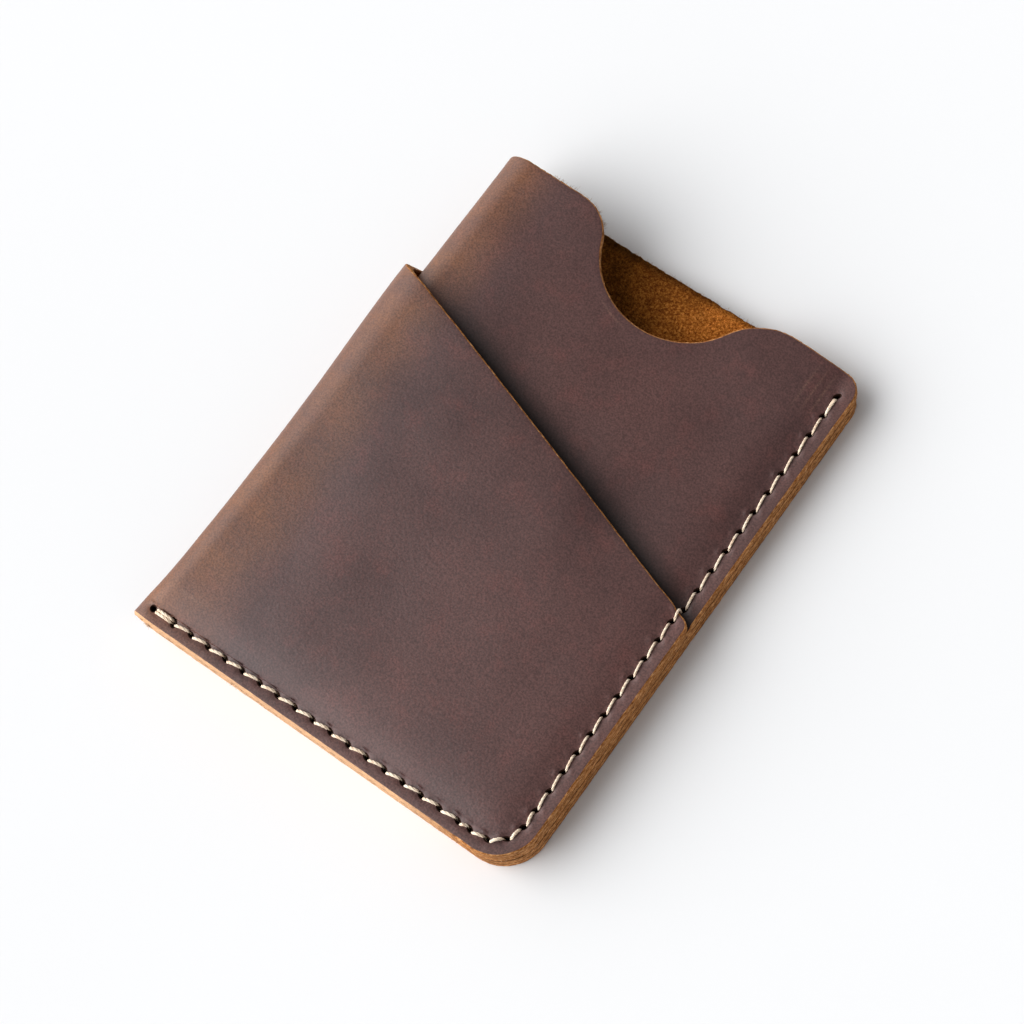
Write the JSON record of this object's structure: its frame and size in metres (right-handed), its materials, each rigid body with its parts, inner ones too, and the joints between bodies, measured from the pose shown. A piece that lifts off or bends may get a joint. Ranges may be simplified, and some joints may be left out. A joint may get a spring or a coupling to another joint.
{
  "type": "minimalist leather wallet",
  "caption": "Slim wallet of two folded leather sheets, saddle stitched on two edges, with a diagonal pocket and a thumb-notched card sleeve.",
  "frame": {"origin": "bottom centre of the wallet's bounding box, on the flat outer face of the back", "axes": "+X from the fold to the sewn side, +Y from the sewn bottom edge to the open mouth, +Z out of the front"},
  "size_m": [0.0768, 0.0968, 0.0153],
  "materials": {
    "inner_sleeve": "waxed pull-up leather, purple-brown grain side, orange-tan suede flesh side",
    "outer_wrap": "waxed pull-up leather, purple-brown grain side, raw tan cut edges",
    "thread_strand_first": "waxed cream twisted thread",
    "thread_strand_second": "waxed cream twisted thread"
  },
  "bodies": {
    "root": {"inner_sleeve": "inner_sleeve", "outer_wrap": "outer_wrap", "thread_strand_first": "thread_strand_first", "thread_strand_second": "thread_strand_second"}
  },
  "joints": []
}
